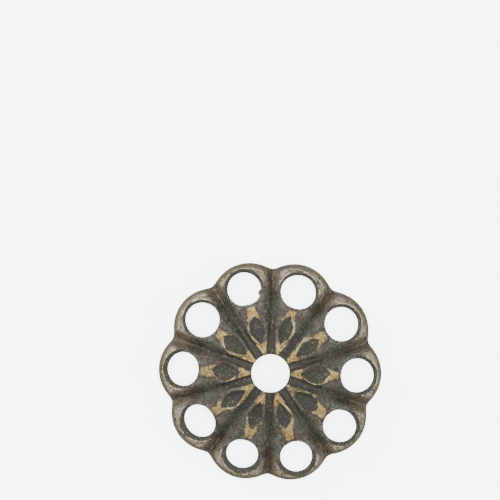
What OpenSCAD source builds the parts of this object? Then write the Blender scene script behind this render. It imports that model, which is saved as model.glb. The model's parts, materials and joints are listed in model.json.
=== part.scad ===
// Bead cap: a stamped sheet flower, domed upwards, with a round hole in every petal and one in the centre.
// Millimetres. Z runs up through the centre hole, the rim stands on Z = 0, the first petal points along X.

/* [Cap] */
// Diameter over two opposite petal tips
cap_d = 15; // [14:0.5:18]
// Height from the rim to the top of the centre
cap_h = 3; // [2.7:0.1:3.4]
// Thickness of the sheet
sheet = 0.25; // [0.2:0.01:0.3]

/* [Holes] */
// Diameter of the hole in the centre
centre_d = 2.5; // [2.2:0.1:2.8]
// Diameter of the hole in each petal
hole_d = 2.25; // [2:0.05:2.4]
// Metal left between a petal hole and the petal tip, seen from above
band = 0.6; // [0.5:0.05:0.7]
// Lean of the petal holes, outwards from upright
hole_lean = 12; // [8:1:16]

/* [Dome] */
// Slope of the crown at the centre hole
slope_in = 15; // [13:0.5:17]
// Slope of the crown at the petal holes
slope_out = 17; // [15:0.5:20]
// Height of the rim above the floor in the notch between two petals
notch_rise = 0.12; // [0.05:0.01:0.3]

/* [Relief] */
// Depth of the groove between petals at the centre hole
groove_in = 0.2; // [0.1:0.01:0.25]
// Depth of the groove between petals at the notch
groove_out = 0.85; // [0.6:0.05:0.95]
// Depth of the lens hollow in each petal
lens_deep = 0.24; // [0.1:0.01:0.3]
// Height of the raised line round the lens
line_high = 0.09; // [0.04:0.01:0.12]
// Drop of the rolled edge into each petal hole
lip_drop = 0.1; // [0.05:0.01:0.15]

/* [Hidden] */
$fn = 96;
petals = 10;
half = 180 / petals;
cap_r = cap_d / 2;
centre_r = centre_d / 2;
hole_r = hole_d / 2;
ring_r = cap_r - band - hole_r;
crown_bend = (tan(slope_out) - tan(slope_in)) / (2 * (ring_r - centre_r));
// Each petal end is an arc about a point on the petal's middle line.
arc_at = 0.66 * cap_r;
arc_r = cap_r - arc_at;
// Two arcs would meet in a sharp notch: it is filled out to this radius, and softened over this much.
notch_r = 0.917 * cap_r;
notch_soft = 0.021 * cap_r;
roll = 0.045 * cap_r;
roll_under = 0.02 * cap_r;
lip_w = 0.026 * cap_r;
crest_at = 0.032 * cap_r;
// The lens: inner tip, widest place, outer tip and the place where its hollow is deepest.
lens_a = 0.26 * cap_r;
lens_b = 0.41 * cap_r;
lens_c = 0.535 * cap_r;
lens_p = 0.38 * cap_r;
lens_w = 0.073 * cap_r;
line_w = 0.0135 * cap_r;
flat_at = 0.505 * cap_r;
flat_w = 0.046 * cap_r;
// Radius as a share of the cap's, then a width as a share of it too, or a share of the groove's depth.
groove_floor = [[0.16, 0.020], [0.26, 0.022], [0.34, 0.016], [0.42, 0.009], [0.48, 0.004], [0.56, 0.002],
    [1, 0.002]];
groove_wall = [[0.16, 0.022], [0.34, 0.020], [0.42, 0.030], [0.48, 0.060], [0.57, 0.110], [0.68, 0.090],
    [0.77, 0.080], [1, 0.085]];
// How far the groove is a sharp crease, from 0, a channel with a flat floor, to 1.
groove_crease = [[0.40, 0], [0.54, 1], [0.76, 1], [0.90, 0]];
groove_share = [[0.16, 0], [0.30, 0.10], [0.42, 0.16], [0.57, 0.42], [0.75, 0.74], [0.92, 1], [1, 1]];

// Rows of the inner part of a petal, from the centre hole to the line where the part round the hole starts.
split = 0.562;
rows_top = [0.165, 0.215, 0.26, 0.295, 0.345, 0.4, 0.445, 0.49, 0.53, split];
rows_under = [0.165, 0.23, 0.285, 0.345, 0.4, 0.46, 0.52, split];
// Rings round the petal hole: after the hole's rolled edge, shares of the way to the petal's outline.
rings_rim = [0.42, 0.75, 0.93];
rings_side = [0.35, 0.62, 0.84];
cols = 6;
side_n = 3;
arc_n = 5;
turn = cols + side_n + arc_n;

function ease(t) = let(c = min(1, max(0, t))) c * c * (3 - 2 * c);
function mix(a, b, t) = a + (b - a) * t;

// Height of the smooth crown over the floor.
function crown(r) = cap_h - tan(slope_in) * (r - centre_r) - crown_bend * pow(r - centre_r, 2);

// Half the width of the lens at x along the petal.
function lens_half(x) =
    let(u = x < lens_b ? (lens_b - x) / (lens_b - lens_a) : (x - lens_b) / (lens_c - lens_b))
    u >= 1 ? 0 : lens_w * (1 - pow(u, 1.7));

// Share of the groove wall that is climbed at x, y: 0 on the groove's floor, 1 on the petal.
function climbed(x, y) =
    let(s = norm([x, y]) / cap_r, d = x * sin(half) - y * cos(half),
        t = min(1, max(0, (d - cap_r * lookup(s, groove_floor)) / (cap_r * lookup(s, groove_wall)))))
    mix(ease(t), sin(90 * t), lookup(s, groove_crease));

function groove(x, y) =
    -mix(groove_in, groove_out, lookup(norm([x, y]) / cap_r, groove_share)) * (1 - climbed(x, y));

// The lens hollow: a shallow pyramid with its point nearer the centre.
function hollow(x, y) =
    let(w = lens_half(x),
        u = x < lens_p ? (lens_p - x) / (lens_p - lens_a) : (x - lens_p) / (lens_c - lens_p))
    w <= 0 || y >= w ? 0 : -lens_deep * (1 - pow(y / w, 1.5)) * (1 - pow(min(1, u), 2));

// The raised line round the lens, and the flat that clasps its outer tip and runs to the petal hole.
function raised(x, y) =
    let(w = lens_half(x), on = ease((x - lens_a) / line_w / 3 + 1) * (1 - ease((x - lens_c) / line_w)),
        far = ease((x - flat_at) / line_w / 2) * (x < ring_r ? 1 : 0) * ease((y - w) / line_w + 1),
        flat = far * (1 - ease((y - flat_w) / line_w / 1.5 + 0.5)))
    line_high * max(on * exp(-pow((y - w) / line_w, 2)), flat);

// How strongly the edge of the petal hole is rolled: full on the tip side, none on the centre side.
function rolled(x, y) = ease(((x - ring_r) / max(0.01, norm([x - ring_r, y])) + 0.6) / 0.9);
function arch(x, y) =
    let(a = rolled(x, y), o = norm([x - ring_r, y]) - hole_r)
    a * (0.4 * lip_drop * exp(-pow((o - crest_at) / lip_w, 2)) - lip_drop * (1 - ease(o / lip_w)));

// Height of the rim over the floor at x, y: the petal ends stand on it.
function rim_z(x, y) = let(g = atan2(y, max(0.01, x))) -0.06 + (notch_rise + 0.06) * ease((g - 9.5) / 8);

// Distance of the petal's outline from the cap's axis, at g degrees from the petal's middle line.
function edge_r(g, inset) =
    let(a = arc_at * cos(g) + sqrt(pow(arc_r - inset, 2) - pow(arc_at * sin(g), 2)), b = notch_r - inset)
    (a + b + norm([a - b, notch_soft]) - pow(notch_soft, 2) / (2 * (cap_r - notch_r))) / 2;

// The last bit before the outline rolls down to the rim. inset: how far the outline lies inside the cap's.
function rolled_down(z, x, y, inset, width) =
    let(e = edge_r(min(half, atan2(y, x)), inset) - norm([x, y]), s = min(1, max(0, e / width)),
        r = rim_z(x, y))
    r + (z - r) * sqrt(1 - pow(1 - s, 2));

function top_z(x, y) =
    rolled_down(crown(norm([x, y])) + groove(x, y) + hollow(x, y) + raised(x, y) + arch(x, y),
        x, y, 0, roll);
function under_z(x, y) =
    let(c = climbed(x, y))
    rolled_down(crown(norm([x, y])) - sheet * (1.05 + 2 * c * (1 - c)) + groove(x, y) + 0.8 * hollow(x, y)
        + arch(x, y), x, y, 0.9 * sheet, roll_under);

// Places across half a row: 0 on the petal's middle line, the row's edge in the middle of the groove.
function col_y(x, j) =
    let(s = x / cap_r, edge = x * tan(half), w = max(lens_half(x), 0.12 * edge),
        foot = (x * sin(half) - cap_r * lookup(s, groove_floor)) / cos(half),
        head = min(max(foot - cap_r * lookup(s, groove_wall) / cos(half), w + line_w), mix(w, foot, 0.6)),
        near = [0, 0.5 * w, max(0.75 * w, w - 1.3 * line_w), w, head, foot, edge],
        far = [0, 0.1 * edge, 0.2 * edge, 0.35 * edge, 0.55 * edge, 0.78 * edge, edge])
    mix(near[j], far[j], ease((s - 0.49) / 0.07)) / edge;
function row_xy(x, round_share, j) =
    let(u = col_y(x, abs(j)) * sign(j))
    [x * mix(1, cos(half * u), round_share), x * mix(tan(half) * u, sin(half * u), round_share)];

// Points round the petal hole and on the outline of the part round it, from the inner side (0) to the tip.
function hole_xy(h) =
    let(a = abs(h), b = a <= cols ? mix(180, 118, a / cols)
        : a <= cols + side_n ? mix(118, 74, (a - cols) / side_n) : mix(74, 0, (a - cols - side_n) / arc_n))
    [ring_r + 0.86 * hole_r * cos(b), 0.86 * hole_r * sin(b) * (h < 0 ? -1 : 1)];
function edge_xy(h, inset) =
    let(a = abs(h), s = h < 0 ? -1 : 1, x0 = split * cap_r / cos(half),
        g = half * (1 - (a - cols - side_n) / arc_n), e = edge_r(g, inset))
    a <= cols ? row_xy(split * cap_r, 0, h)
    : a <= cols + side_n ? mix(x0, edge_r(half, inset), (a - cols) / side_n) * [cos(half), s * sin(half)]
    : [e * cos(g), s * e * sin(g)];
function ring_xy(h, k, inset) =
    let(p = hole_xy(h), q = edge_xy(h, inset), way = norm(q - p),
        lip = 0.14 * hole_r, crest = min(0.5, (lip + crest_at) / way),
        list = abs(h) > cols + side_n - 1 ? rings_rim : rings_side,
        t = k == 0 ? 0 : k == 1 ? 0.62 * crest : k == 2 ? crest : mix(crest, 1, list[k - 3]))
    mix(p, q, t);

function lift(p, under) = [p.x, p.y, under ? under_z(p.x, abs(p.y)) : top_z(p.x, abs(p.y))];
function turned(p, a) = [p.x * cos(a) - p.y * sin(a), p.x * sin(a) + p.y * cos(a), p.z];

// Everything one petal owns on one face. The groove line on its left belongs to the petal before it.
function petal_points(rows, rings, under) =
    let(inset = under ? 0.9 * sheet : 0, n = len(rows) - 1)
    concat(
        [for (i = [0:n], j = [1 - cols:cols])
            lift(row_xy(rows[i] * cap_r * (i == 0 ? 0.97 : 1), 1 - i / n, j), under)],
        [for (k = [0:rings - 1], h = [1 - turn:turn]) lift(ring_xy(h, k, inset), under)],
        [for (h = [cols + 1:turn]) lift(edge_xy(h, inset), under)],
        [for (h = [1 - turn:-1 - cols - side_n]) lift(edge_xy(h, inset), under)]);

function owned(n, rings) = n * 2 * cols + rings * 2 * turn + (turn - cols) + (arc_n - 1);
function at_row(k, i, j, base, size) =
    j == -cols ? base + ((k + petals - 1) % petals) * size + i * 2 * cols + 2 * cols - 1
    : base + k * size + i * 2 * cols + j + cols - 1;
function at_ring(k, ring, h, base, size, n, rings) =
    let(b = base + k * size, o = n * 2 * cols + rings * 2 * turn)
    ring < rings ?
        b + n * 2 * cols + ring * 2 * turn + ((h + 2 * turn) % (2 * turn) == turn ? turn : h) + turn - 1
    : abs(h) <= cols ? at_row(k, n - 1, h, base, size)
    : h > 0 ? b + o + h - cols - 1
    : h == -turn ? b + o + turn - cols - 1
    : h < -cols - side_n ? b + o + (turn - cols) + h + turn - 1
    : base + ((k + petals - 1) % petals) * size + o - h - cols - 1;

// Two triangles for a patch with four corners, cut the same way on both sides of a petal's middle line.
function pair(a, b, c, d, flip, under) =
    let(t = flip ? [[a, b, d], [b, c, d]] : [[a, b, c], [a, c, d]])
    under ? [for (f = t) [f[2], f[1], f[0]]] : t;
function face_of(n, rings, base, size, under) = [
    for (k = [0:petals - 1], i = [0:n - 2], j = [-cols:cols - 1])
        each pair(at_row(k, i, j, base, size), at_row(k, i, j + 1, base, size),
            at_row(k, i + 1, j + 1, base, size), at_row(k, i + 1, j, base, size), j < 0, under),
    for (k = [0:petals - 1], r = [0:rings - 1], h = [-turn:turn - 1])
        each pair(at_ring(k, r, h, base, size, n, rings), at_ring(k, r + 1, h, base, size, n, rings),
            at_ring(k, r + 1, h + 1, base, size, n, rings), at_ring(k, r, h + 1, base, size, n, rings),
            h < 0, under)];

module stamped_sheet() {
    nt = len(rows_top);
    nu = len(rows_under);
    rt = 6;
    ru = 5;
    st = owned(nt, rt);
    su = owned(nu, ru);
    bu = petals * st;
    top = petal_points(rows_top, rt, false);
    low = petal_points(rows_under, ru, true);
    walls = [
        for (k = [0:petals - 1], h = [-turn:turn - 1])
            each pair(at_ring(k, 0, h, 0, st, nt, rt), at_ring(k, 0, h + 1, 0, st, nt, rt),
                at_ring(k, 0, h + 1, bu, su, nu, ru), at_ring(k, 0, h, bu, su, nu, ru), h < 0, false),
        for (k = [0:petals - 1], h = [-turn:turn - 1]) if (h < -cols - side_n || h >= cols + side_n)
            each pair(at_ring(k, rt, h, 0, st, nt, rt), at_ring(k, rt, h + 1, 0, st, nt, rt),
                at_ring(k, ru, h + 1, bu, su, nu, ru), at_ring(k, ru, h, bu, su, nu, ru), h < 0, true),
        for (k = [0:petals - 1], j = [-cols:cols - 1])
            each pair(at_row(k, 0, j, 0, st), at_row(k, 0, j + 1, 0, st),
                at_row(k, 0, j + 1, bu, su), at_row(k, 0, j, bu, su), j < 0, true)];
    polyhedron(
        points = concat([for (k = [0:petals - 1], p = top) turned(p, 2 * half * k)],
            [for (k = [0:petals - 1], p = low) turned(p, 2 * half * k)]),
        faces = concat(face_of(nt, rt, 0, st, false), face_of(nu, ru, bu, su, true), walls),
        convexity = 12);
}

module bead_cap() {
    color([0.36, 0.33, 0.27])
        difference() {
            stamped_sheet();
            // The drills are turned a little so that their seams stay off the petals' middle lines.
            rotate([0, 0, 5]) translate([0, 0, cap_h / 2])
                cylinder(r = centre_r, h = cap_h * 2, center = true);
            for (k = [0:petals - 1])
                rotate([0, 0, 2 * half * k]) translate([ring_r, 0, crown(ring_r) - sheet / 2])
                    rotate([0, hole_lean, 0]) rotate([0, 0, 7]) cylinder(r = hole_r, h = 2.4, center = true);
            translate([0, 0, -1]) cylinder(r = cap_d, h = 2, center = true);
        }
}

bead_cap();
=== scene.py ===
"""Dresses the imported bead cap: a stamped brass flower, antiqued dark and worn bright on its raised lines."""

import json
import math
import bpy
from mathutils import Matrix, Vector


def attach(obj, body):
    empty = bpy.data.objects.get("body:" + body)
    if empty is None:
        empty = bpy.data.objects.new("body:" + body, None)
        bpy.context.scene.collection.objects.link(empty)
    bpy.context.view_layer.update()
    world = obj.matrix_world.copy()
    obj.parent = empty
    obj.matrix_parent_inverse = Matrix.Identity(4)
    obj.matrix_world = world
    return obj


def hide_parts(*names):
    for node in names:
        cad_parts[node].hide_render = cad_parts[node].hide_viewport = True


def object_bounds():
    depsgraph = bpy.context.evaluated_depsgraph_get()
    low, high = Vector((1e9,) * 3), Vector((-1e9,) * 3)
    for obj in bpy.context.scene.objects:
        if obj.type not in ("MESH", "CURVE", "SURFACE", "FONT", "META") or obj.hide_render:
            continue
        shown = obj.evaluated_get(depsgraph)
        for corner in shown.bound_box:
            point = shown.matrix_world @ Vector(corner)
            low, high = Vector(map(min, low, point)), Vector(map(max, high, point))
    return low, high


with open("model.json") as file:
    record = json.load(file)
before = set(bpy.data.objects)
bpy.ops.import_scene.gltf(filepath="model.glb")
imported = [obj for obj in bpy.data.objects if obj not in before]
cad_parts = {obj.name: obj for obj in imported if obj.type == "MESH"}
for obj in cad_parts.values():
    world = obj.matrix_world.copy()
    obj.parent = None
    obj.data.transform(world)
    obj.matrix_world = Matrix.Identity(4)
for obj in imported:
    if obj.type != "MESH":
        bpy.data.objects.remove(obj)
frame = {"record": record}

from copy import copy
from math import atan2, cos, exp, hypot, pi, radians, sin, sqrt, tan

import bmesh
import bpy
from mathutils import Matrix, Vector, noise

bl_info = {
    "name": "Antiqued bead cap",
    "version": (1, 0, 0),
    "blender": (4, 5, 0),
    "location": "View3D > Sidebar > Bead cap",
    "description": "Builds a stamped flower bead cap in antique brass around its packed CAD model",
    "category": "Object",
}

NODE = "bead_cap"
MM = 0.001
CAD_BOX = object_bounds()
MOUNTS = {m["name"]: m for m in frame["record"]["mounts"]}
PETALS = sum(name.startswith("petal_hole") for name in MOUNTS)
FIRST_HOLE = MOUNTS["petal_hole_1"]
HALF = pi / PETALS
# How far the underside's outline lies inside the top's, as a share of the sheet
RIM_INSET = 0.9


# Sizes and colours that a user would change

class CapSizes(bpy.types.PropertyGroup):
    diameter: bpy.props.FloatProperty(
        name="Diameter", description="Over two opposite petal tips", unit="LENGTH", precision=5,
        default=CAD_BOX[1][0] - CAD_BOX[0][0])
    height: bpy.props.FloatProperty(
        name="Height", description="From the rim to the top of the centre", unit="LENGTH", precision=5,
        default=CAD_BOX[1][2] - CAD_BOX[0][2])
    sheet: bpy.props.FloatProperty(
        name="Sheet", description="Thickness of the metal", unit="LENGTH", precision=5,
        default=0.25 * MM)
    centre_hole: bpy.props.FloatProperty(
        name="Centre hole", description="Radius of the hole in the middle", unit="LENGTH", precision=5,
        default=MOUNTS["centre_hole"]["dims"]["r_mm"] * MM)
    petal_hole: bpy.props.FloatProperty(
        name="Petal hole", description="Radius of the hole in each petal", unit="LENGTH", precision=5,
        default=FIRST_HOLE["dims"]["r_mm"] * MM)
    hole_ring: bpy.props.FloatProperty(
        name="Hole ring", description="Distance from the centre to each petal hole", unit="LENGTH",
        precision=5,
        default=FIRST_HOLE["pos_m"][0])
    hole_lean: bpy.props.FloatProperty(
        name="Hole lean", description="How far each petal hole leans outwards", subtype="ANGLE",
        unit="ROTATION",
        default=atan2(FIRST_HOLE["axis"][0], FIRST_HOLE["axis"][2]))


class CapFinish(bpy.types.PropertyGroup):
    patina: bpy.props.FloatVectorProperty(
        name="Patina", description="Colour of the darkened metal", subtype="COLOR", size=3,
        default=(0.063, 0.058, 0.049))
    # Also the colour of the painted shade at the petal holes' rolled edges and along the outline
    soot_and_shade: bpy.props.FloatVectorProperty(
        name="Recesses", description="Colour of the oxide in the recesses", subtype="COLOR", size=3,
        default=(0.033, 0.032, 0.028))
    bare: bpy.props.FloatVectorProperty(
        name="Bare metal", description="Colour where the patina is worn off", subtype="COLOR", size=3,
        default=(0.22, 0.152, 0.056))
    # Also the colour of the painted sheen on the band round each petal hole
    smear_and_sheen: bpy.props.FloatVectorProperty(
        name="Half worn", description="Colour where the patina is thin", subtype="COLOR", size=3,
        default=(0.235, 0.198, 0.143))
    # Also sets how much of the painted glints by the creases and petal holes turns bright
    wear_and_glint: bpy.props.FloatProperty(
        name="Wear", description="How much of the raised lines is bare", subtype="FACTOR", min=0, max=1,
        default=0.6)


class StageLight(bpy.types.PropertyGroup):
    floor: bpy.props.FloatVectorProperty(
        name="Floor", description="Colour of the surface under the cap", subtype="COLOR", size=3,
        default=(0.93, 0.93, 0.93))
    strength: bpy.props.FloatProperty(
        name="Light", description="Strength of the soft lights", min=0, default=1.0)
    camera_height: bpy.props.FloatProperty(
        name="Camera height", description="Height of the camera over the floor", unit="LENGTH",
        default=148 * MM)


# The stamped form, in millimetres. x runs outwards along a petal's middle line, y across it.

def ease(t):
    t = min(1.0, max(0.0, t))
    return t * t * (3 - 2 * t)


def mix(a, b, t):
    return a + (b - a) * t


def between(x, table):
    """The value at x in a short table of (place, value)."""
    if x <= table[0][0]:
        return table[0][1]
    for (x0, y0), (x1, y1) in zip(table, table[1:]):
        if x <= x1:
            return mix(y0, y1, (x - x0) / (x1 - x0))
    return table[-1][1]


class Form:
    """Heights and places on the stamped sheet, with the same named shares as the CAD model."""

    # The groove, by the distance from the middle as a share of the cap's radius: half the width of its floor
    # and the width of its wall, both as shares of the radius, how much of a crease it is, and how far its
    # depth is on the way from groove_in to groove_out
    groove_floor = (
        (0.16, 0.020), (0.26, 0.022), (0.34, 0.016), (0.42, 0.009), (0.48, 0.004), (0.56, 0.002),
        (1, 0.002))
    groove_wall = (
        (0.16, 0.022), (0.34, 0.020), (0.42, 0.030), (0.48, 0.060), (0.57, 0.110), (0.68, 0.090),
        (0.77, 0.080), (1, 0.085))
    groove_crease = ((0.40, 0), (0.54, 1), (0.76, 1), (0.90, 0))
    groove_share = ((0.16, 0), (0.30, 0.10), (0.42, 0.16), (0.57, 0.42), (0.75, 0.74), (0.92, 1), (1, 1))
    groove_in, groove_out = 0.2, 0.85
    lens_deep, line_high, lip_drop, notch_rise = 0.24, 0.09, 0.10, 0.12
    # Powers that round the lens's inner and outer ends: the higher, the blunter
    lens_inner, lens_outer = 1.7, 2.2
    slope_in, slope_out = tan(radians(15)), tan(radians(17))
    # Both edges of the rim stand this high, and the metal between them bulges down to the table
    rim_low = 0.03
    # Degrees from the middle line where the rim starts to rise to the notch, and over how many it does
    notch_from, notch_over = 9.5, 8
    # Where the part round the petal hole starts, as a share of the cap's radius
    split = 0.562

    def __init__(self, sizes):
        self.r = sizes.diameter / MM / 2
        self.high = sizes.height / MM
        self.sheet = sizes.sheet / MM
        self.centre = sizes.centre_hole / MM
        self.hole = sizes.petal_hole / MM
        self.ring = sizes.hole_ring / MM
        self.hole_x, self.hole_y, self.lens_y = self.ring, 0.0, 0.0
        self.lean = sizes.hole_lean
        self.bend = (self.slope_out - self.slope_in) / (2 * (self.ring - self.centre))
        self.arc_at = 0.66 * self.r
        self.arc_r = self.r - self.arc_at
        self.notch, self.notch_soft = 0.917 * self.r, 0.021 * self.r
        self.roll, self.roll_under = 0.045 * self.r, 0.02 * self.r
        self.lip_w, self.crest_at = 0.026 * self.r, 0.032 * self.r
        # The lens's inner tip, widest place, outer tip and deepest place
        self.lens_a, self.lens_b, self.lens_c, self.lens_p = (s * self.r for s in (0.26, 0.41, 0.535, 0.38))
        self.lens_w, self.line_w = 0.073 * self.r, 0.0135 * self.r
        self.flat_at, self.flat_w = 0.505 * self.r, 0.046 * self.r

    def crown(self, r):
        """Height of the plain crown at the distance r from the axis."""
        return self.high - self.slope_in * (r - self.centre) - self.bend * (r - self.centre) ** 2

    def lens_half(self, x):
        """Half the width of the lens at x."""
        if x < self.lens_b:
            u, power = (self.lens_b - x) / (self.lens_b - self.lens_a), self.lens_inner
        else:
            u, power = (x - self.lens_b) / (self.lens_c - self.lens_b), self.lens_outer
        return 0.0 if u >= 1 else self.lens_w * (1 - u ** power)

    def climbed(self, x, y):
        """How far up the groove's wall a place lies: 0 on the floor, 1 on the petal."""
        s = hypot(x, y) / self.r
        from_seam = x * sin(HALF) - y * cos(HALF)
        up = (from_seam / self.r - between(s, self.groove_floor)) / between(s, self.groove_wall)
        t = min(1, max(0, up))
        return mix(ease(t), sin(t * pi / 2), between(s, self.groove_crease))

    def groove(self, x, y):
        share = between(hypot(x, y) / self.r, self.groove_share)
        return -mix(self.groove_in, self.groove_out, share) * (1 - self.climbed(x, y))

    def hollow(self, x, y):
        """Depth of the lens, below the petal."""
        w = self.lens_half(x)
        if w <= 0 or y >= w:
            return 0.0
        end = self.lens_a if x < self.lens_p else self.lens_c
        u = (x - self.lens_p) / (end - self.lens_p)
        return -self.lens_deep * (1 - (y / w) ** 1.5) * (1 - min(1, max(0, u)) ** 2)

    def line(self, x, y, wide=1.0):
        """How much of the raised line round the lens a place has, 0 to 1."""
        w = self.lens_half(x)
        on = ease((x - self.lens_a) / self.line_w / 3 + 1) * (1 - ease((x - self.lens_c) / self.line_w))
        return on * exp(-((y - w) / self.line_w / wide) ** 2)

    def flat(self, x, y):
        """How much of the raised flat between the lens and the hole a place has, 0 to 1."""
        if x >= self.hole_x:
            return 0.0
        far = ease((x - self.flat_at) / self.line_w / 2) * ease((y - self.lens_half(x)) / self.line_w + 1)
        return far * (1 - ease((y - self.flat_w) / self.line_w / 1.5 + 0.5))

    def past_hole(self, x, y):
        """Distance from the edge of the petal hole."""
        return hypot(x - self.hole_x, y - self.hole_y) - self.hole

    def rolled(self, x, y):
        """1 on the tip side of the petal hole, where its edge is rolled down, and 0 on the lens side."""
        far = max(0.01, self.past_hole(x, y) + self.hole)
        return ease(((x - self.hole_x) / far + 0.6) / 0.9)

    def crest(self, x, y):
        """How much of the low ridge round the petal hole a place has, 0 to 1."""
        o = self.past_hole(x, y)
        near = exp(-((o - self.crest_at) / self.lip_w) ** 2)
        return self.rolled(x, y) * near * (1 - ease((o - 0.35) / 0.15))

    def arch(self, x, y):
        """Rise of the ridge round the petal hole, and fall of the edge inside it."""
        fall = self.rolled(x, y) * (1 - ease(self.past_hole(x, y) / self.lip_w))
        return self.lip_drop * (0.4 * self.crest(x, y) - fall)

    def rim_z(self, x, y):
        """Height of the outline: level round the tip, higher at the notch."""
        g = math.degrees(atan2(y, max(0.01, x)))
        rise = mix(-0.06, self.notch_rise, ease((g - self.notch_from) / self.notch_over))
        return max(0.0, rise) + self.rim_low

    def edge_r(self, g, inset):
        """Distance of the petal's outline from the axis, at the angle g from the petal's middle line."""
        a = self.arc_at * cos(g) + sqrt((self.arc_r - inset) ** 2 - (self.arc_at * sin(g)) ** 2)
        b = self.notch - inset
        too_far = self.notch_soft ** 2 / (2 * (self.r - self.notch))
        return (a + b + hypot(a - b, self.notch_soft) - too_far) / 2

    def inside_by(self, x, y, inset):
        """Distance inwards from the outline."""
        return self.edge_r(min(HALF, atan2(abs(y), x)), inset) - hypot(x, y)

    def rolled_down(self, z, x, y, inset, width):
        """The height z, brought down to the rim in a quarter round of that width."""
        s = min(1, max(0, self.inside_by(x, y, inset) / width))
        r = self.rim_z(x, y)
        return r + (z - r) * sqrt(1 - (1 - s) ** 2)

    def top_z(self, x, y):
        a, b = abs(y), abs(y - self.lens_y)
        raised = self.line_high * max(self.line(x, b), self.flat(x, b)) * ease((x * tan(HALF) - a) / 0.1)
        z = self.crown(hypot(x, a)) + self.groove(x, a) + self.hollow(x, b) + raised + self.arch(x, y)
        return self.rolled_down(z, x, a, 0, self.roll)

    def under_z(self, x, y):
        a, b = abs(y), abs(y - self.lens_y)
        c = self.climbed(x, a)
        z = self.crown(hypot(x, a)) - self.sheet * (1.05 + 2 * c * (1 - c)) + self.groove(x, a)
        z += 0.8 * self.hollow(x, b) + self.arch(x, y)
        return self.rolled_down(z, x, a, RIM_INSET * self.sheet, self.roll_under)

    def face_z(self, x, y, under):
        return self.under_z(x, y) if under else self.top_z(x, y)

    def in_bore(self, turn, radius, under):
        """The place on a face at that angle and distance from the leaning petal hole's axis."""
        rx, y = radius * cos(turn), self.hole_y + radius * sin(turn)
        z0 = self.crown(self.ring) - self.sheet / 2
        s = 0.0
        for _ in range(6):
            x = self.hole_x + rx * cos(self.lean) + s * sin(self.lean)
            z = z0 - rx * sin(self.lean) + s * cos(self.lean)
            s += self.face_z(x, y, under) - z
        return x, y

    def petal_edge(self, turn, inset):
        """The place on the petal's outline, from the notch (-1 and 1) over the tip (0)."""
        g = HALF * turn
        r = self.edge_r(g, inset)
        return r * cos(g), r * sin(g)

    def row(self, x, share, u):
        """The place at u (-1 to 1) across a row at x: an arc about the axis at share 1, straight at 0."""
        return x * mix(1, cos(HALF * u), share), x * mix(tan(HALF) * u, sin(HALF * u), share)


# Counts of cells: across a petal, along one groove line beside the hole, and along half a petal's outline
ACROSS, BESIDE, EDGE = 44, 12, 22
AROUND = ACROSS + 2 * BESIDE + 2 * EDGE
# Shares of the rings round a hole that lie on the ridge beside it, and up to where the rim is rolled down
ON_RIDGE, TO_ROLL = 0.3, 0.4


# Each petal's faults, anticlockwise from the one along X: its hole's length along the petal and width
# across it as shares of the drill's, the hole's place outwards and sideways in millimetres, the width of
# its lens as a share of the die's, then how bare its ridge is on the left and on the right as seen from the
# middle, and how bare its inner tip and its flat are
FAULTS = (
    (1.05, 1.00, 0.03, -0.05, 1.22, 0.20, 0.80, 0.95, 1.00),
    (1.05, 1.01, -0.04, -0.03, 0.95, 1.00, 0.65, 0.95, 1.00),
    (1.05, 1.04, -0.11, 0.02, 0.96, 0.50, 0.85, 0.90, 1.00),
    (1.05, 0.99, 0.04, 0.09, 0.98, 0.85, 0.50, 0.90, 1.00),
    (1.07, 1.01, -0.05, -0.03, 1.02, 0.95, 0.35, 0.95, 1.00),
    (0.98, 1.00, 0.04, -0.08, 1.22, 0.80, 0.20, 1.00, 0.85),
    (0.92, 1.01, -0.08, 0.00, 0.95, 0.90, 0.40, 0.90, 0.95),
    (0.92, 0.94, -0.04, 0.04, 0.95, 0.60, 0.65, 1.00, 0.95),
    (0.99, 0.94, 0.09, 0.07, 0.95, 0.90, 0.60, 0.95, 1.00),
    (1.06, 0.95, 0.08, -0.02, 1.02, 0.70, 0.30, 0.75, 0.90),
)
# The petal whose hole has a burr, and at which angles round the hole the burr and a lesser tear lie
BURRED = 3
BURR_AT, TEAR_AT = -119, 178
# How brightly the crease between two petals glints, a painted highlight, by the distance from the middle as a
# share of the radius
CREASE = ((0.30, 0), (0.40, 1), (0.74, 1), (0.84, 0))
# Distance from the groove's floor over which its soot fades, in millimetres
SOOT_WIDE = 0.13
# Distance of the bright ring, a painted highlight on the worn crest, from the edge of a petal hole, and about
# half its width, in millimetres
RING_AT, RING_WIDE = 0.26, 0.04
# Distance between the beads that the worn line round a lens falls into, in millimetres
BEAD_STEP = 0.25
# How far the walls of the sheet's cut edges bulge out between their two faces, in millimetres
BULGE = 0.02


def degrees_apart(a, b):
    return abs((a - b + 180) % 360 - 180)


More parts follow.
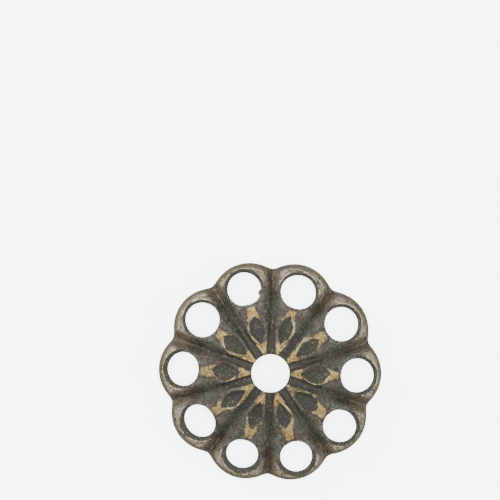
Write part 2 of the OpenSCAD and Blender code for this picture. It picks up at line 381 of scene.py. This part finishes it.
class Petal:
    """Where each cell corner of one petal lies, with that petal's own small faults from the stamping.

    Each corner comes with how worn, how sooty and how pale the metal is there, with painted glints, shade and
    highlights among them.
    """

    def __init__(self, form, index):
        self.f, self.index = copy(form), index
        self.turn = Matrix.Rotation(2 * HALF * index, 3, "Z")
        self.long, self.broad, out, aside, wide, *self.bare = FAULTS[index]
        self.f.hole_x += out
        self.f.hole_y = aside
        self.f.lens_y = 0.3 * aside
        self.f.lens_w *= wide
        self.f.lens_c += 0.2 * self.odd(3, 0, 1)
        self.f.lens_deep *= 1 + 0.4 * self.odd(6, 0, 1)
        self.f.flat_w *= 1.1 + 0.3 * self.odd(9, 0, 1)

    def odd(self, a, b, size):
        """A smooth random value, -1 to 1, that differs from petal to petal."""
        return noise.noise(Vector((a / size + 17.3 * self.index, b / size, 4.1)))

    def hole_radius(self, turn):
        """Radius of the punched hole at an angle round it: slightly uneven, and ragged at a burr."""
        r = self.f.hole * hypot(self.long * cos(turn), self.broad * sin(turn))
        r *= 1 - 0.006 * (1 + self.odd(3 * cos(turn), 3 * sin(turn), 1))
        if self.index == BURRED:
            burr = ease(1.5 - degrees_apart(math.degrees(turn), BURR_AT) / 9)
            tear = ease(1.4 - degrees_apart(math.degrees(turn), TEAR_AT) / 22)
            r *= 1 - 0.17 * burr * (0.75 + 0.5 * abs(self.odd(turn * 9, 0, 1)))
            r *= 1 - 0.05 * tear * (0.6 + abs(self.odd(turn * 14, 5, 1)))
        return r

    def depth(self, x, b):
        """How deep in the lens a place is, as a share that reaches 1 before the middle."""
        return min(1.0, -self.f.hollow(x, b) / self.f.lens_deep * 1.6)

    def worn_flat(self, x, b, ragged):
        """How bare the raised flat is: an arch short of the hole, with two legs down the lens."""
        f = self.f
        half = f.flat_w * mix(1.08, 0.72, ease((x - f.flat_at) / 0.7))
        head = ease((f.hole_x - f.hole * self.long - 0.6 * b * b - x) / 0.12 - 0.2)
        legs = ease((x - f.flat_at + 0.35) / 0.15) * ease((b - f.lens_half(x)) / 0.06 + 0.8)
        return head * legs * (1 - ease((b + ragged - half) / 0.12 + 0.5))

    def worn_tip(self, x, a, ragged):
        """How bare the inner tip of the petal is: a wedge between two grooves."""
        f = self.f
        half = 0.05 + 0.31 * (x - f.centre) / (f.lens_a - f.centre) + 0.6 * ragged
        ends = ease((f.lens_a + 0.4 - x) / 0.35) * ease((hypot(x, a) / f.r - 0.166) / 0.015)
        return ends * (1 - ease((a - half) / 0.1 + 0.5))

    def worn_outline(self, x, y, b):
        """How bare the raised line round the lens is: whole or broken into beads, whole at its prongs."""
        f = self.f
        left, right = self.bare[:2]
        side = mix(right, left, ease((y - f.lens_y) / 0.2 + 0.5))
        side *= 1.1 + 0.7 * self.odd(x, 9 + 4 * (y > f.lens_y), 0.45)
        beads = 0.5 + 0.5 * cos(2 * pi * x / BEAD_STEP + 5 * self.odd(x, 0, 0.8))
        prongs = ease((x - f.lens_c + 0.55) / 0.4)
        whole = mix(mix(beads, 1, side), 1, prongs)
        return side * whole * f.line(x, b, 0.8 + 0.5 * side + 1.2 * prongs)

    def top_finish(self, x, y):
        """How worn, how sooty and how pale the top face is, with painted glints, shade and highlights among
        them.
        """
        f = self.f
        a, b = abs(y), abs(y - f.lens_y)
        tip, flat = self.bare[2:]
        deep = self.depth(x, b)
        share = hypot(x, a) / f.r
        past = f.past_hole(x, y)
        from_seam = x * sin(HALF) - a * cos(HALF)
        ragged = 0.10 * self.odd(x + y, 7, 0.3) + 0.10 * self.odd(x - y, 3, 0.14)
        tip *= self.worn_tip(x, a, ragged) * (1 - ease(3 * deep))
        flat *= self.worn_flat(x, b, ragged)
        patch = max(tip, flat)
        outline = self.worn_outline(x, y, b)
        # The bright ring on the crest by the petal hole: worn metal with a painted highlight
        ring = exp(-((past - RING_AT) / RING_WIDE) ** 2) * (1.05 + 0.8 * self.odd(x, y, 0.5))
        # The crease's painted highlight, broken into dashes and only on its lit side
        seen = ease(0.35 + 1.5 * self.odd(x, 40, 0.7)) * (y > 0)
        crease = between(share, CREASE) * exp(-((from_seam - 0.04) / 0.025) ** 2)
        glint = max(f.rolled(x, y) * ring, seen * crease)
        # Painted highlights: the glints, and the pale dashes along the lens outlines
        pale = max(0.7 * glint, outline * ease(0.45 + 1.2 * self.odd(x, 31 + y, 0.5))) * (1 - patch)
        seam = 1 - ease((from_seam - f.r * between(share, f.groove_floor)) / SOOT_WIDE)
        seam *= mix(1, 0.55, ease((share - 0.6) / 0.1)) * (1 - ease((share - 0.8) / 0.1))
        lens = 0.9 * ease(deep * 1.3)
        # Painted shade on the rolled-down edge at the tip side of the petal hole
        lip = f.rolled(x, y) * ease((0.25 - past) / 0.1)
        # A darker band about half way out
        girdle = 0.62 * exp(-((share - 0.53) / 0.08) ** 2)
        # Painted shade along the outline, where the rim falls steeply away
        rim = 0.4 - 0.4 * ease(f.inside_by(x, a, 0) / 0.14)
        return max(patch, outline, glint), max(seam, lens, lip, girdle, rim), pale

    def under_finish(self, x, y):
        """How worn, how sooty and how pale the under face is: bare on its ribs and on the lens's back."""
        f = self.f
        a, b = abs(y), abs(y - f.lens_y)
        rib = ease(1.6 - 2.2 * f.climbed(x, a)) * ease(hypot(x, a) / f.r * 8 - 0.8)
        back = ease(self.depth(x, b) * 1.2 - 0.55)
        lip = f.rolled(x, y) * ease(1.4 - abs(f.past_hole(x, y) - 0.3) / 0.2)
        return max(0.75 * rib, 0.8 * back), max(f.line(x, b), 0.8 * lip), 0.3

    def lifted(self, x, y, under):
        """The point on a face over x and y, and how worn, how sooty and how pale the metal is there, painted
        glints, shade and highlights included.
        """
        f = self.f
        edge = ease(f.inside_by(x, abs(y), f.sheet) / 0.3)
        uneven = 0.008 * self.world_noise(x, y, 1.1) + 0.004 * self.world_noise(x, y, 0.35)
        finish = self.under_finish(x, y) if under else self.top_finish(x, y)
        return Vector((x, y, f.face_z(x, y, under) + edge * uneven)), *finish

    def along_hole(self, at):
        """Where to take the streaks that run round the petal hole, and how rubbed the band round it is, with
        its painted sheen.
        """
        f = self.f
        dx, dy = at.x - f.hole_x, at.y - f.hole_y
        far = max(0.01, hypot(dx, dy))
        past = far - f.hole
        spot = Vector((dx / far, dy / far, past + 5.7 * self.index))
        from_edge = f.inside_by(at.x, at.y, 0)
        rubbed_and_sheen = ease((past - 0.22) / 0.2) * (1 - 0.5 * ease((past - 0.56) / 0.25))
        rubbed_and_sheen *= ease(0.1 + from_edge / 0.09)
        return spot, f.rolled(at.x, at.y) * rubbed_and_sheen

    def world_noise(self, x, y, size):
        """A smooth random value that runs on from petal to petal."""
        p = self.turn @ Vector((x, y, 0))
        return noise.noise(p / size)

    def inner_part(self, across, along, under):
        """Corners between the centre hole and the line where the part round the petal hole starts."""
        f = self.f
        first = f.centre + BULGE
        x = mix(first, f.split * f.r, along)
        share = 1 - ease((x - first) / (f.split * f.r - first))
        if along >= 1:
            share = 0.0
        px, py = f.row(x, share, across * 2 - 1)
        return self.lifted(px, py, under)

    def way_round(self, around):
        """For a share of the way round the hole: cells from the inward line, which side, and the angle."""
        n = around * AROUND
        half_row = ACROSS / 2
        h = n if n <= AROUND / 2 else n - AROUND
        a = abs(h)
        side = 1 if h >= 0 else -1
        if a <= half_row:
            turn = mix(180, 118, a / half_row)
        elif a <= half_row + BESIDE:
            turn = mix(118, 74, (a - half_row) / BESIDE)
        else:
            turn = mix(74, 0, (a - half_row - BESIDE) / EDGE)
        return a, side, radians(turn)

    def outer_end(self, a, side, inset):
        """The place on the boundary of the part round the hole, a cells from the inward line."""
        f = self.f
        half_row = ACROSS / 2
        if a <= half_row:
            return f.row(f.split * f.r, 0, side * a / half_row)
        if a <= half_row + BESIDE:
            r = mix(f.split * f.r / cos(HALF), f.edge_r(HALF, inset), (a - half_row) / BESIDE)
            return r * cos(HALF), side * r * sin(HALF)
        x, y = f.petal_edge(1 - (a - half_row - BESIDE) / EDGE, inset)
        return x, side * y

    def hole_part(self, around, out, under):
        """Corners from the petal hole's edge (out 0) to the outline, groove lines and inner part (out 1)."""
        f = self.f
        inset = RIM_INSET * f.sheet if under else 0.0
        a, side, turn = self.way_round(around)
        qx, qy = self.outer_end(a, side, inset)
        px, py = f.in_bore(side * turn, self.hole_radius(side * turn) + BULGE, under)
        way = hypot(qx - px, qy - py)
        crest = min(0.5, 1.5 * f.crest_at / way)
        on_edge = ease((a - ACROSS / 2 - BESIDE * 0.5) / (BESIDE * 0.5))
        to_roll = max(crest, 1 - (f.roll_under if under else f.roll) / way)
        even = crest * out / ON_RIDGE if out < ON_RIDGE else mix(crest, 1, (out - ON_RIDGE) / (1 - ON_RIDGE))
        if out < ON_RIDGE:
            rolled = even
        elif out < TO_ROLL:
            rolled = mix(crest, to_roll, (out - ON_RIDGE) / (TO_ROLL - ON_RIDGE))
        else:
            rolled = mix(to_roll, 1, sin((out - TO_ROLL) / (1 - TO_ROLL) * pi / 2))
        t = mix(even, rolled, on_edge)
        return self.lifted(mix(px, qx, t), mix(py, qy, t), under)

    @staticmethod
    def bulged(down):
        """Share of the bulge of a cut edge, from the top face (down 0) to the under face (down 1)."""
        return 1 - abs(2 * down - 1) ** 3

    def hole_wall(self, around, down):
        """Corners on the punched wall of the petal hole, from the top face (down 0) to the under one (1)."""
        f = self.f
        _, side, turn = self.way_round(around)
        ends = []
        for under in (False, True):
            x, y = f.in_bore(side * turn, self.hole_radius(side * turn) + BULGE, under)
            ends.append(self.lifted(x, y, under)[0])
        p = ends[0].lerp(ends[1], down)
        centre = Vector((f.hole_x, f.hole_y, f.crown(f.ring) - f.sheet / 2))
        axis = Vector((sin(f.lean), 0, cos(f.lean)))
        out = p - centre
        out -= axis * out.dot(axis)
        return p - out.normalized() * BULGE * self.bulged(down), 0.35, 0.35, 0.0

    def rim_wall(self, along, down):
        """Corners on the cut edge of the sheet round the petal's outline."""
        f = self.f
        a = ACROSS / 2 + BESIDE + EDGE * (1 - abs(along * 2 - 1))
        side = -1 if along < 0.5 else 1
        top = self.lifted(*self.outer_end(a, side, 0.0), False)[0]
        below = self.lifted(*self.outer_end(a, side, RIM_INSET * f.sheet), True)[0]
        p = top.lerp(below, down)
        p.z -= f.rim_low * self.bulged(down)
        return p, 0.5, 0.1, 0.5

    def centre_wall(self, across, down):
        """Corners on the wall of the centre hole."""
        ends = [self.inner_part(across, 0, under)[0] for under in (False, True)]
        p = ends[0].lerp(ends[1], down)
        out = Vector((p.x, p.y, 0)).normalized()
        return p - out * BULGE * self.bulged(down), 0.45, 0.2, 0.0


# What each corner of the mesh stores for the finish, about 0 to 1: wear with painted glints, soot with painted
# shade, pale with painted highlights, and crest, the rubbed band by the petal hole with its painted sheen
LAYERS = ("wear_and_glint", "soot_and_shade", "pale", "crest")


def lay_grid(bm, petal, wide, tall, place, flip=False):
    """A grid of wide by tall cells whose corners place() puts on the petal."""
    wear_and_glint, soot_and_shade, pale, crest = (bm.verts.layers.float[n] for n in LAYERS)
    streak = bm.verts.layers.float_vector["streak"]
    made = bmesh.ops.create_grid(bm, x_segments=wide, y_segments=tall, size=0.5)["verts"]
    for v in made:
        u, t = min(1.0, max(0.0, v.co.x + 0.5)), min(1.0, max(0.0, v.co.y + 0.5))
        u, t = round(u * wide) / wide, round(t * tall) / tall
        at, v[wear_and_glint], v[soot_and_shade], v[pale] = place(u, t)
        v[streak], v[crest] = petal.along_hole(at)
        v.co = (petal.turn @ at) * MM
    if flip:
        faces = list({f for v in made for f in v.link_faces})
        bmesh.ops.reverse_faces(bm, faces=faces)


def stamped_cap(sizes):
    """The whole cap as one closed shell of metal."""
    form = Form(sizes)
    bm = bmesh.new()
    for n in LAYERS:
        bm.verts.layers.float.new(n)
    bm.verts.layers.float_vector.new("streak")
    for index in range(PETALS):
        petal = Petal(form, index)
        for under, rows, rings in ((False, 46, 22), (True, 26, 14)):
            lay_grid(bm, petal, ACROSS, rows, lambda u, t: petal.inner_part(u, t, under), not under)
            lay_grid(bm, petal, AROUND, rings, lambda u, t: petal.hole_part(u, t, under), under)
        lay_grid(bm, petal, AROUND, 4, petal.hole_wall)
        lay_grid(bm, petal, 2 * EDGE, 4, petal.rim_wall)
        lay_grid(bm, petal, ACROSS, 3, petal.centre_wall)
    bmesh.ops.remove_doubles(bm, verts=bm.verts, dist=0.0008 * MM)
    bmesh.ops.recalc_face_normals(bm, faces=bm.faces)
    open_edges = sum(not e.is_manifold for e in bm.edges)
    if open_edges:
        raise RuntimeError(f"the cap's shell has {open_edges} open edges")
    for f in bm.faces:
        f.smooth = True
    mesh = bpy.data.meshes.new("cap")
    bm.to_mesh(mesh)
    bm.free()
    return mesh


# The finish

class Value:
    """A number, colour or vector in a material. Python's operators on numbers add the Math nodes."""

    def __init__(self, tree, socket=None):
        self.tree, self.socket = tree, socket

    def node(self, kind, sockets, out=0, **settings):
        """Any node: its settings, then the values or links of its sockets. The value is its output out."""
        made = self.tree.nodes.new(kind)
        for name, setting in settings.items():
            setattr(made, name, setting)
        for name, value in sockets.items():
            if isinstance(value, Value):
                self.tree.links.new(value.socket, made.inputs[name])
            else:
                made.inputs[name].default_value = value
        return Value(self.tree, made.outputs[out])

    def math(self, operation, a, b):
        return self.node("ShaderNodeMath", {0: a, 1: b}, operation=operation)

    def __add__(self, other):
        return self.math("ADD", self, other)

    def __sub__(self, other):
        return self.math("SUBTRACT", self, other)

    def __rsub__(self, other):
        return self.math("SUBTRACT", other, self)

    def __mul__(self, other):
        return self.math("MULTIPLY", self, other)

    __radd__ = __add__

    def above(self, start, end):
        """0 up to start and 1 from end on, smoothly between."""
        return self.node("ShaderNodeMapRange", {"Value": self, "From Min": start, "From Max": end},
                         interpolation_type="SMOOTHSTEP")

    def over(self, below, above):
        """The colour below where this mask is 0 and the one above where it is 1."""
        colour = [(*c, 1) if isinstance(c, tuple) else c for c in (below, above)]
        return self.node("ShaderNodeMix", {0: self, 6: colour[0], 7: colour[1]}, out=2, data_type="RGBA")


# Colours of the brightest grains in the bare metal, which also paint the glints and highlights, and of the
# reddish oxide in the patina
PALE_GRAIN_AND_GLINT = (0.38, 0.33, 0.21)
RED_OXIDE = (0.09, 0.05, 0.042)
# Tint and strength of the mirror at a grazing angle, kept low so that the bright table doesn't whiten the rim
GRAZING_TINT = (0.4, 0.38, 0.34, 1)
GRAZING_LEVEL = 0.3


def shade(colour, share):
    return tuple(c * share for c in colour)


def antiqued_brass(finish):
    """Brass under a dark patina that is rubbed through where fingers and the tumbler reach it, with painted
    glints, sheen and shade in its colour.
    """
    material = bpy.data.materials.new("antiqued_brass")
    material.use_nodes = True
    tree = material.node_tree
    surface = tree.nodes["Principled BSDF"]
    start = Value(tree)
    on_object = start.node("ShaderNodeTexCoord", {}, out=3)
    place = start.node("ShaderNodeMapping", {"Vector": on_object, "Scale": (1 / MM, 1 / MM, 1 / MM)})

    def layer(name, out=2):
        """What the mesh stores at its corners: a number from output 2, a vector from output 1."""
        return start.node("ShaderNodeAttribute", {}, out=out, attribute_name=name)

    def speckle(size, at=place, detail=3.0, rough=0.6, seed=0.0):
        """Cloudy noise, about 0 to 1, whose spots are size millimetres across."""
        return start.node("ShaderNodeTexNoise", {
            "Vector": at, "W": seed, "Scale": 1 / size, "Detail": detail, "Roughness": rough},
            noise_dimensions="4D")

    wear_and_glint, soot_and_shade, pale, band = (layer(name) for name in LAYERS)
    along_hole = start.node("ShaderNodeMapping", {"Vector": layer("streak", 1), "Scale": (4.5, 4.5, 10)})
    streak = speckle(1.0, along_hole)
    cloud, grain, fine = speckle(1.3), speckle(0.16, seed=3), speckle(0.07, detail=2, seed=5)
    mottle = speckle(0.3, detail=2, seed=11).above(0.3, 0.7)
    # Pale flecks, partly painted glints
    flecks_and_glints = speckle(0.12, rough=0.7, seed=13).above(0.54, 0.68)

    # Where the metal is bare, with the painted glints; where the patina is thin, with the band's painted
    # sheen; and where soot and painted shade lie
    patchy = (grain - 0.5) * 1.5 + (cloud - 0.5) * 0.6
    bare_from = 1.02 - 0.6 * finish.wear_and_glint
    bare = (wear_and_glint + patchy + (streak - 0.5) * 0.8 * band).above(bare_from, bare_from + 0.18)
    # The band round each petal hole: rubbed metal with a painted sheen on its slope
    rubbed_and_sheen = band * (0.75 + (streak - 0.5) * 4.0 + (fine - 0.5) * 3.2)
    thin_patina_and_sheen = (wear_and_glint * 0.4 + rubbed_and_sheen + patchy * 0.6).above(0.2, 0.82)
    dark = (soot_and_shade + (grain - 0.5) * 0.3).above(0.15, 0.95)

    # The colour, from the patina up to the bare metal
    tint = (cloud - 0.5) * 0.7 + (fine - 0.5) * 2.3 + (mottle - 0.5) * 0.3
    patina = tint.above(-0.4, 0.4).over(shade(finish.patina, 0.42), shade(finish.patina, 1.65))
    patina = (speckle(0.9, seed=9).above(0.5, 0.72) * 0.4).over(patina, RED_OXIDE)
    base = dark.over(patina, tuple(finish.soot_and_shade))
    base = (flecks_and_glints * 0.6).over(base, shade(finish.smear_and_sheen, 0.8))
    base = thin_patina_and_sheen.over(base, tuple(finish.smear_and_sheen))
    # Painted glints sprinkled over the band round each petal hole
    glitter = speckle(0.08, detail=2, rough=0.7, seed=25).above(0.5, 0.68)
    base = (glitter * band * 0.7).over(base, PALE_GRAIN_AND_GLINT)
    grains = (fine * 0.75 + mottle * 0.25).above(0.3, 0.65)
    gold = grains.over(shade(finish.bare, 0.45), shade(finish.bare, 1.3))
    gold = (speckle(0.09, detail=2, seed=21).above(0.52, 0.66) * 0.5).over(gold, PALE_GRAIN_AND_GLINT)
    # Painted highlights on the bare metal, from the pale layer
    gold = pale.over(gold, PALE_GRAIN_AND_GLINT)
    base = bare.over(base, gold)

    # The sheen and the small relief
    rough = 0.56 - bare * 0.16 - thin_patina_and_sheen * 0.16 + dark * 0.1 + (fine - 0.5) * 0.35
    metal = 0.72 + bare * 0.25 + thin_patina_and_sheen * 0.22 - dark * 0.45
    scratch = speckle(0.02, start.node("ShaderNodeMapping", {
        "Vector": place, "Rotation": (0, 0, 0.6), "Scale": (0.12, 1, 1)}), detail=1, seed=7)
    height = fine * 0.9 + grain * 1.0 + streak * band * 0.8 + scratch * 0.25
    bumped = start.node("ShaderNodeBump", {"Height": height, "Strength": 0.7, "Distance": 0.08 * MM})
    varying = {"Base Color": base, "Roughness": rough, "Metallic": metal, "Normal": bumped}
    for socket, value in varying.items():
        tree.links.new(value.socket, surface.inputs[socket])
    surface.inputs["Specular Tint"].default_value = GRAZING_TINT
    surface.inputs["Specular IOR Level"].default_value = GRAZING_LEVEL
    return material


def light_table(colour):
    """A matt pale floor with a little light of its own, as a photographer's table has."""
    material = bpy.data.materials.new("light_table")
    material.use_nodes = True
    inputs = material.node_tree.nodes["Principled BSDF"].inputs
    inputs["Base Color"].default_value = (*colour, 1)
    inputs["Roughness"].default_value = 0.9
    inputs["Emission Color"].default_value = (*colour, 1)
    inputs["Emission Strength"].default_value = TABLE_GLOW
    return material


def put(name, data, material=None):
    """A new object in the scene, at the origin."""
    piece = bpy.data.objects.new(name, data)
    bpy.context.scene.collection.objects.link(piece)
    if material:
        data.materials.append(material)
    return piece


class BEADCAP_OT_cap(bpy.types.Operator):
    """Stamps the flower cap and gives it its worn finish"""
    bl_idname = "bead_cap.cap"
    bl_label = "Stamp the cap"

    def execute(self, context):
        scene = context.scene
        piece = put("stamped_cap", stamped_cap(scene.cap_sizes), antiqued_brass(scene.cap_finish))
        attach(piece, "root")
        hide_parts(NODE)
        return {"FINISHED"}


class BEADCAP_OT_stage(bpy.types.Operator):
    """Lays the pale floor, hangs the soft lights and sets the camera over the cap"""
    bl_idname = "bead_cap.stage"
    bl_label = "Set the stage"

    def execute(self, context):
        light = context.scene.stage_light
        bm = bmesh.new()
        bmesh.ops.create_grid(bm, x_segments=1, y_segments=1, size=FLOOR_HALF)
        mesh = bpy.data.meshes.new("floor")
        bm.to_mesh(mesh)
        bm.free()
        floor = put("floor", mesh, light_table(light.floor))
        floor.visible_glossy = False
        world = bpy.data.worlds.new("studio")
        world.use_nodes = True
        background = world.node_tree.nodes["Background"].inputs
        background["Color"].default_value = (1, 1, 1, 1)
        background["Strength"].default_value = WORLD_GLOW * light.strength
        context.scene.world = world
        for name, at, size, power in SOFT_LIGHTS:
            lamp = bpy.data.lights.new(name, "AREA")
            lamp.shape, lamp.size, lamp.energy = "DISK", size, power * light.strength
            hung = put(name, lamp)
            hung.location = at
            hung.rotation_euler = (-Vector(at)).to_track_quat("-Z", "Y").to_euler()
        aim_camera(context.scene, light.camera_height)
        return {"FINISHED"}


# The stage: half the floor's side in metres, the light of the table and of the room, then each lamp's name,
# place and size in metres, and power in watts
FLOOR_HALF = 0.6
TABLE_GLOW, WORLD_GLOW = 5.0, 0.64
SOFT_LIGHTS = (
    ("overhead", (0.0, 0.02, 0.30), 0.22, 1.6),
    ("upper_left", (-0.22, 0.16, 0.16), 0.16, 1.0),
    ("right", (0.24, -0.06, 0.12), 0.14, 0.5),
)
# The photograph's frame: its side, the cap's axis in it, its scale at the height of the cap's outline, and
# how far the cap is turned in it
FRAME_PX = 500
CAP_AT_PX = (270.1, 371.35)
MM_PER_PX = 15 / 223.2
OUTLINE_HEIGHT = 0.3 * MM
CAP_TURN = radians(-1.5)
SENSOR = 36


def aim_camera(scene, height):
    """Looks straight down, with the cap where the photograph's frame has it."""
    data = bpy.data.cameras.new("camera")
    data.sensor_width = SENSOR
    data.lens = SENSOR * (height - OUTLINE_HEIGHT) / MM / (FRAME_PX * MM_PER_PX)
    data.clip_start, data.clip_end = 0.001, 10
    camera = put("camera", data)
    off = Vector((FRAME_PX / 2 - CAP_AT_PX[0], CAP_AT_PX[1] - FRAME_PX / 2, 0)) * MM_PER_PX * MM
    roll = Matrix.Rotation(-CAP_TURN, 4, "Z")
    camera.matrix_world = Matrix.Translation(roll @ off + Vector((0, 0, height))) @ roll
    scene.camera = camera


class BEADCAP_PT_panel(bpy.types.Panel):
    """The cap's sizes, finish and stage"""
    bl_label = "Bead cap"
    bl_idname = "BEADCAP_PT_panel"
    bl_space_type = "VIEW_3D"
    bl_region_type = "UI"
    bl_category = "Bead cap"

    def draw(self, context):
        for group in GROUPS:
            box = self.layout.box()
            for prop in GROUPS[group].bl_rna.properties:
                if prop.identifier not in ("rna_type", "name"):
                    box.prop(getattr(context.scene, group), prop.identifier)
        for operator in (BEADCAP_OT_cap, BEADCAP_OT_stage):
            self.layout.operator(operator.bl_idname)


GROUPS = {"cap_sizes": CapSizes, "cap_finish": CapFinish, "stage_light": StageLight}
CLASSES = (*GROUPS.values(), BEADCAP_OT_cap, BEADCAP_OT_stage, BEADCAP_PT_panel)


def register():
    for c in CLASSES:
        bpy.utils.register_class(c)
    for name, group in GROUPS.items():
        setattr(bpy.types.Scene, name, bpy.props.PointerProperty(type=group))


def unregister():
    for name in GROUPS:
        delattr(bpy.types.Scene, name)
    for c in reversed(CLASSES):
        bpy.utils.unregister_class(c)


def main():
    register()
    bpy.ops.bead_cap.stage()
    bpy.ops.bead_cap.cap()


if __name__ == "__main__":
    main()
